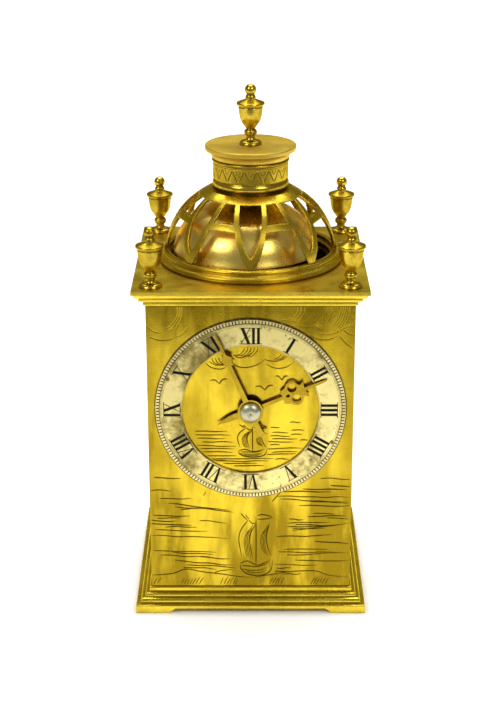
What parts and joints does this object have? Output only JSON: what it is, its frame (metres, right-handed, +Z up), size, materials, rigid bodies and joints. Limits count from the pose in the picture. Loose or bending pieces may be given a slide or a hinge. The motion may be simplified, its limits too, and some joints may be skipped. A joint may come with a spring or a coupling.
{
  "type": "ships deck clock",
  "caption": "Square brass deck clock with a two-hand roman dial, pierced bell dome, urn finials, moulded base and cornice, and a hinged back door.",
  "frame": {"origin": "centre of the clock at table height", "axes": "+Z up, dial faces -Y, +X to the viewer's right"},
  "size_m": [0.135, 0.135, 0.3002],
  "materials": {
    "case_brass": "satin, aged",
    "plate_brass": "polished, engraved",
    "turned_brass": "satin, olive patina",
    "dome_brass": "polished, aged",
    "bell_bronze": "polished bell metal",
    "silvered_brass": "silvered, tarnished",
    "nickel": "dull nickel",
    "hand_brass": "polished",
    "movement_brass": "brushed",
    "steel": "brushed",
    "blued_spring_steel": "blued"
  },
  "bodies": {
    "case": {"base_moulding_front": "case_brass", "base_moulding_back": "case_brass", "base_moulding_left": "case_brass", "base_moulding_right": "case_brass", "base_plate": "case_brass", "front_plate": "plate_brass", "left_side_panel": "plate_brass", "right_side_panel": "plate_brass", "corner_posts": "case_brass", "cornice_front": "case_brass", "cornice_back": "case_brass", "cornice_left": "case_brass", "cornice_right": "case_brass", "top_plate": "case_brass", "dome_ring": "dome_brass", "dome_fret": "dome_brass", "turret_drum": "turned_brass", "turret_cap": "turned_brass", "top_finial": "turned_brass", "finial_front_left": "turned_brass", "finial_front_right": "turned_brass", "finial_back_left": "turned_brass", "finial_back_right": "turned_brass", "chapter_ring": "silvered_brass", "milled_ring": "dome_brass", "ring_pins": "dome_brass", "bell": "bell_bronze", "bell_stand": "steel", "bell_nut": "steel", "front_movement_plate": "movement_brass", "back_movement_plate": "movement_brass", "movement_pillars": "movement_brass", "pillar_nuts": "steel", "balance_cock": "movement_brass", "case_hinges": "case_brass"},
    "door": {"back_door": "plate_brass", "door_hinges": "case_brass"},
    "latch": {"door_latch": "movement_brass"},
    "winding_arbor": {"barrel_arbor": "steel", "ratchet_wheel": "steel"},
    "key": {"winding_key": "movement_brass"},
    "click_lever": {"click": "steel"},
    "barrel_body": {"barrel": "movement_brass", "mainspring": "blued_spring_steel"},
    "minute_arbor": {"centre_wheel": "movement_brass", "cannon_pinion": "steel", "strike_cam": "steel", "minute_hand": "hand_brass", "hand_nut": "nickel", "hand_set_knob": "movement_brass"},
    "hour_pipe": {"hour_wheel": "movement_brass", "hour_hand": "hand_brass"},
    "motion_arbor": {"minute_wheel": "movement_brass"},
    "third_arbor": {"third_wheel": "movement_brass"},
    "fourth_arbor": {"fourth_wheel": "movement_brass"},
    "escape_arbor": {"escape_wheel": "movement_brass"},
    "lever_arbor": {"pallet_lever": "steel"},
    "balance_staff": {"balance_wheel": "movement_brass", "hairspring": "blued_spring_steel"},
    "hammer_arbor": {"hammer": "steel"}
  },
  "joints": [
    {"name": "door_hinge", "type": "hinge", "parent": "case", "child": "door", "pos_m": [-0.0602, 0.06, 0.1], "axis": [0, 0, 1], "range_deg": [0, 110]},
    {"name": "door_latch_turn", "type": "hinge", "parent": "door", "child": "latch", "pos_m": [0.046, 0.0585, 0.1], "axis": [0, 1, 0], "range_deg": [0, 90]},
    {"name": "minute_hand_turn", "type": "hinge", "parent": "case", "child": "minute_arbor", "pos_m": [0, -0.03, 0.1262], "axis": [0, 1, 0], "continuous": true},
    {"name": "hour_hand_turn", "type": "hinge", "parent": "case", "child": "hour_pipe", "pos_m": [0, -0.03, 0.1262], "axis": [0, 1, 0], "continuous": true},
    {"name": "motion_wheel_turn", "type": "hinge", "parent": "case", "child": "motion_arbor", "pos_m": [0.012, -0.03, 0.1262], "axis": [0, 1, 0], "continuous": true},
    {"name": "barrel_turn", "type": "hinge", "parent": "case", "child": "barrel_body", "pos_m": [0, -0.03, 0.101], "axis": [0, 1, 0], "continuous": true},
    {"name": "third_wheel_turn", "type": "hinge", "parent": "case", "child": "third_arbor", "pos_m": [-0.01559, -0.03, 0.1352], "axis": [0, 1, 0], "continuous": true},
    {"name": "fourth_wheel_turn", "type": "hinge", "parent": "case", "child": "fourth_arbor", "pos_m": [-0.00794, -0.03, 0.14845], "axis": [0, 1, 0], "continuous": true},
    {"name": "escape_wheel_turn", "type": "hinge", "parent": "case", "child": "escape_arbor", "pos_m": [0.00614, -0.03, 0.14845], "axis": [0, 1, 0], "continuous": true},
    {"name": "winding_turn", "type": "hinge", "parent": "case", "child": "winding_arbor", "pos_m": [0, -0.03, 0.101], "axis": [0, 1, 0], "continuous": true},
    {"name": "key_pull", "type": "slide", "parent": "winding_arbor", "child": "key", "axis": [0, 1, 0], "range_m": [0, 0.02]},
    {"name": "click_lift", "type": "hinge", "parent": "case", "child": "click_lever", "pos_m": [-0.01025, -0.03, 0.11125], "axis": [0, 1, 0], "range_deg": [0, 8], "stiffness_Nm_per_rad": 0.002, "springref_deg": -5.73},
    {"name": "lever_swing", "type": "hinge", "parent": "case", "child": "lever_arbor", "pos_m": [0.01363, -0.03, 0.14977], "axis": [0, 1, 0], "range_deg": [-4, 4]},
    {"name": "balance_swing", "type": "hinge", "parent": "case", "child": "balance_staff", "pos_m": [0.0215, -0.03, 0.15116], "axis": [0, 1, 0], "range_deg": [-150, 150], "stiffness_Nm_per_rad": 0.00002},
    {"name": "hammer_lift", "type": "hinge", "parent": "case", "child": "hammer_arbor", "pos_m": [-0.03, -0.03, 0.128], "axis": [0, 1, 0], "range_deg": [0, 10]}
  ],
  "couplings": [
    {"joint": "hour_hand_turn", "follows": "minute_hand_turn", "ratio": 0.083333},
    {"joint": "motion_wheel_turn", "follows": "minute_hand_turn", "ratio": -0.33333},
    {"joint": "barrel_turn", "follows": "minute_hand_turn", "ratio": -0.16667},
    {"joint": "third_wheel_turn", "follows": "minute_hand_turn", "ratio": -8},
    {"joint": "fourth_wheel_turn", "follows": "minute_hand_turn", "ratio": 60},
    {"joint": "escape_wheel_turn", "follows": "minute_hand_turn", "ratio": -600}
  ]
}
